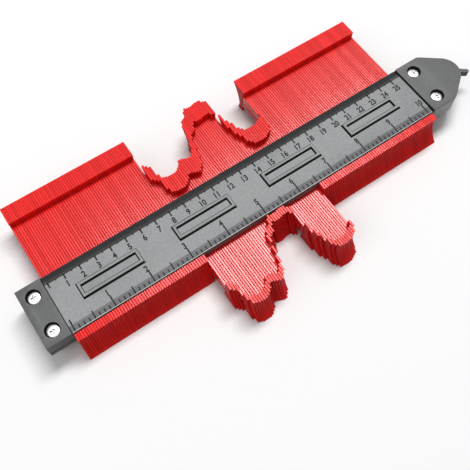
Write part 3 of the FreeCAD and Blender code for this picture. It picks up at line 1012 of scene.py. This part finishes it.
class GAUGE_OT_scales(bpy.types.Operator):
    """Build the centimetre and inch scales on the ruler face"""

    bl_idname = "gauge.scales"
    bl_label = "Scales"

    def execute(self, context):
        settings = context.scene.gauge_scale
        width, height = settings.tick_width, settings.mark_height
        thin, long = width * THIN_SHARE, width * LONG_SHARE
        rows = (
            ("centimetres", CENTIMETRES + 1, CENTIMETRE, FACE_HALF, 10.95 * MM, long),
            ("halves", 2 * CENTIMETRES + 1, CENTIMETRE / 2, FACE_HALF, 13.2 * MM, width),
            ("millimetres", 10 * CENTIMETRES + 1, MM, FACE_HALF, TICK_FEET, thin),
            ("metric_edge", 10 * CENTIMETRES + 1, MM, METRIC_TICK_END, FACE_HALF, thin),
            ("inches", INCHES + 1, INCH, -FACE_HALF, -11.4 * MM, long),
            ("half_inches", 2 * INCHES + 1, INCH / 2, -FACE_HALF, -13.7 * MM, width),
            ("half_inch_edge", 2 * INCHES + 1, INCH / 2, PAINTED_HIGHLIGHT_END, -FACE_HALF, width),
            ("inch_edge", 8 * INCHES + 1, INCH / 8, PAINTED_HIGHLIGHT_END, -16.2 * MM, width),
        )
        parts = [tick_row(*row, height) for row in rows]
        for count, step, shift, feet in (
                (CENTIMETRES, CENTIMETRE, METRIC_SHIFT, METRIC_FEET),
                (INCHES, INCH, INCH_SHIFT, INCH_FEET)):
            for number in range(1, count + 1):
                parts.append(number_mesh(str(number), ZERO_X + number * step + shift, feet,
                                         settings.digit_height))
        piece = joined("scale_marks", parts)
        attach(piece, "housing")
        return {"FINISHED"}


# screws

def draw_screw(bm):
    """A screw about the middle of its head's top: crowned head and pointed shank."""
    settings = bpy.context.scene.gauge_screws
    head = settings.head_diameter / 2
    shank = settings.shank_diameter / 2
    total = SCREW_HIGH.z - SCREW_LOW.z
    rows = [(0.0, 0.0)]
    for share in CROWN_SHARES:
        rows.append((head * share, -CROWN_DROP * share ** CROWN_CURVE))
    foot = -settings.head_height
    rows += [(head, foot + SCREW_EDGE), (head - SCREW_EDGE, foot), (shank, foot),
             (shank, -total + SCREW_POINT), (0.0, -total)]
    turns = [2 * math.pi * step / SCREW_SIDES for step in range(SCREW_SIDES)]
    rings = []
    for radius, z in rows:
        angles = turns if radius else [0.0]
        rings.append([bm.verts.new((radius * math.cos(angle), radius * math.sin(angle), z))
                      for angle in angles])
    for first, second in zip(rings, rings[1:]):
        for index in range(SCREW_SIDES):
            after = (index + 1) % SCREW_SIDES
            corners = (first[index % len(first)], second[index % len(second)],
                       second[after % len(second)], first[after % len(first)])
            bm.faces.new(list(dict.fromkeys(corners)))


def draw_recess(bm):
    """The cross-shaped cutter of a screw's recess, narrowing downwards."""
    settings = bpy.context.scene.gauge_screws
    span = settings.recess_span / 2
    arm = span * ARM_SHARE
    outline = [(arm, arm), (arm, span), (-arm, span), (-arm, arm), (-span, arm),
               (-span, -arm), (-arm, -arm), (-arm, -span), (arm, -span), (arm, -arm),
               (span, -arm), (span, arm)]
    top = [bm.verts.new((x, y, 0.5 * MM)) for x, y in outline]
    low = [bm.verts.new((x * RECESS_TAPER, y * RECESS_TAPER, -settings.recess_depth))
           for x, y in outline]
    side_faces(bm, low, top)
    bm.faces.new(top)
    bm.faces.new(low)


class GAUGE_OT_screws(bpy.types.Operator):
    """Build the four cover screws"""

    bl_idname = "gauge.screws"
    bl_label = "Screws"

    def execute(self, context):
        pattern = new_object("screw_pattern", mesh_from(draw_screw, "screw_pattern"))
        pattern = cut_away(pattern, draw_recess, "screw_pattern")
        places = [(x, y, SCREW_HIGH.z) for x in SCREW_X for y in SCREW_Y]
        piece = placed_copies("cross_screws", pattern, places, screw_steel())
        bpy.data.objects.remove(pattern)
        smooth_by_angle(piece, SCREW_SMOOTH)
        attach(piece, "housing")
        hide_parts("cover_screws")
        return {"FINISHED"}


# stage

def area_light(name, place, size, depth, power):
    """A soft rectangular light that looks at the origin, its width kept along X."""
    light = bpy.data.lights.new(name, "AREA")
    light.shape = "RECTANGLE"
    light.size = size
    light.size_y = depth
    light.energy = power
    thing = new_object(name, light)
    thing.location = place
    back = Vector(place).normalized()
    side = (Vector((1, 0, 0)) - back * back.x).normalized()
    thing.rotation_euler = Matrix((side, back.cross(side), back)).transposed().to_euler()


def seen_directly(tree):
    """One for camera, glossy and transmission rays, zero for the rays that light things."""
    rays = tree.nodes.new("ShaderNodeLightPath")
    return add_all(tree, "MAXIMUM", [rays.outputs[name] for name in (
        "Is Camera Ray", "Is Glossy Ray", "Is Transmission Ray")])


@finish_named("floor_finish")
def floor_white(tree, shader, _place):
    """Pale floor that looks white, keeps the shadow and throws only some light back."""
    plain = [bpy.context.scene.gauge_stage.floor_albedo] * 3
    tree.links.new(add_mix(tree, seen_directly(tree), plain, (1, 1, 1)),
                   shader.inputs["Base Color"])
    shader.inputs["Roughness"].default_value = 0.9
    shader.inputs["Specular IOR Level"].default_value = 0.1


class GAUGE_OT_stage(bpy.types.Operator):
    """Build the floor, the lights, the world and the camera"""

    bl_idname = "gauge.stage"
    bl_label = "Stage"

    def execute(self, context):
        settings = context.scene.gauge_stage
        half = settings.floor_size / 2
        mesh = bpy.data.meshes.new("floor")
        corners = ((-half, -half), (half, -half), (half, half), (-half, half))
        mesh.from_pydata([(x, y, -FLOOR_DROP) for x, y in corners], [], [(0, 1, 2, 3)])
        floor = new_object("floor", mesh)
        floor.data.materials.append(floor_white())
        area_light("key_light", KEY_PLACE, settings.key_size, settings.key_depth,
                   settings.key_power)
        area_light("fill_light", FILL_PLACE, FILL_SIZE, FILL_SIZE, settings.fill_power)
        world = bpy.data.worlds.new("studio")
        context.scene.world = world
        world.use_nodes = True
        tree = world.node_tree
        background = tree.nodes["Background"]
        strength = add_range(tree, seen_directly(tree), 0, 1, settings.world_strength, 1)
        tree.links.new(strength, background.inputs["Strength"])
        background.inputs["Color"].default_value = (1, 1, 1, 1)
        camera_data = bpy.data.cameras.new("photo_camera")
        camera_data.sensor_width = 36
        camera_data.lens = CAMERA_LENS
        camera_data.clip_start = 0.01
        camera = new_object("photo_camera", camera_data)
        camera.location = CAMERA_PLACE
        camera.rotation_euler = [math.radians(angle) for angle in CAMERA_ANGLES]
        context.scene.camera = camera
        context.scene.view_settings.view_transform = "Standard"
        return {"FINISHED"}


class GAUGE_PT_panel(bpy.types.Panel):
    """Sizes, colours and buttons of the contour gauge."""

    bl_idname = "GAUGE_PT_panel"
    bl_label = "Contour gauge"
    bl_space_type = "VIEW_3D"
    bl_region_type = "UI"
    bl_category = "Gauge"

    def draw(self, context):
        for prefix, _, operators in SECTIONS:
            box = self.layout.box()
            settings = getattr(context.scene, prefix)
            for name in settings.bl_rna.properties.keys():
                if name not in ("rna_type", "name"):
                    box.prop(settings, name)
            for operator in operators:
                box.operator(operator)


SECTIONS = (
    ("gauge_fins", FinSettings, ("gauge.fins",)),
    ("gauge_housing", HousingSettings, ("gauge.covers", "gauge.lever")),
    ("gauge_scale", ScaleSettings, ("gauge.scales",)),
    ("gauge_screws", ScrewSettings, ("gauge.screws",)),
    ("gauge_stage", StageSettings, ("gauge.stage",)),
)
CLASSES = (GAUGE_OT_fins, GAUGE_OT_covers, GAUGE_OT_lever, GAUGE_OT_scales,
           GAUGE_OT_screws, GAUGE_OT_stage, GAUGE_PT_panel)


def register():
    for name, group, _ in SECTIONS:
        bpy.utils.register_class(group)
        setattr(bpy.types.Scene, name, bpy.props.PointerProperty(type=group))
    for item in CLASSES:
        bpy.utils.register_class(item)


def unregister():
    for item in reversed(CLASSES):
        bpy.utils.unregister_class(item)
    for name, group, _ in reversed(SECTIONS):
        delattr(bpy.types.Scene, name)
        bpy.utils.unregister_class(group)


def main():
    """Builds the whole gauge and its stage."""
    register()
    bpy.ops.gauge.fins()
    bpy.ops.gauge.covers()
    bpy.ops.gauge.lever()
    bpy.ops.gauge.scales()
    bpy.ops.gauge.screws()
    bpy.ops.gauge.stage()


if __name__ == "__main__":
    main()
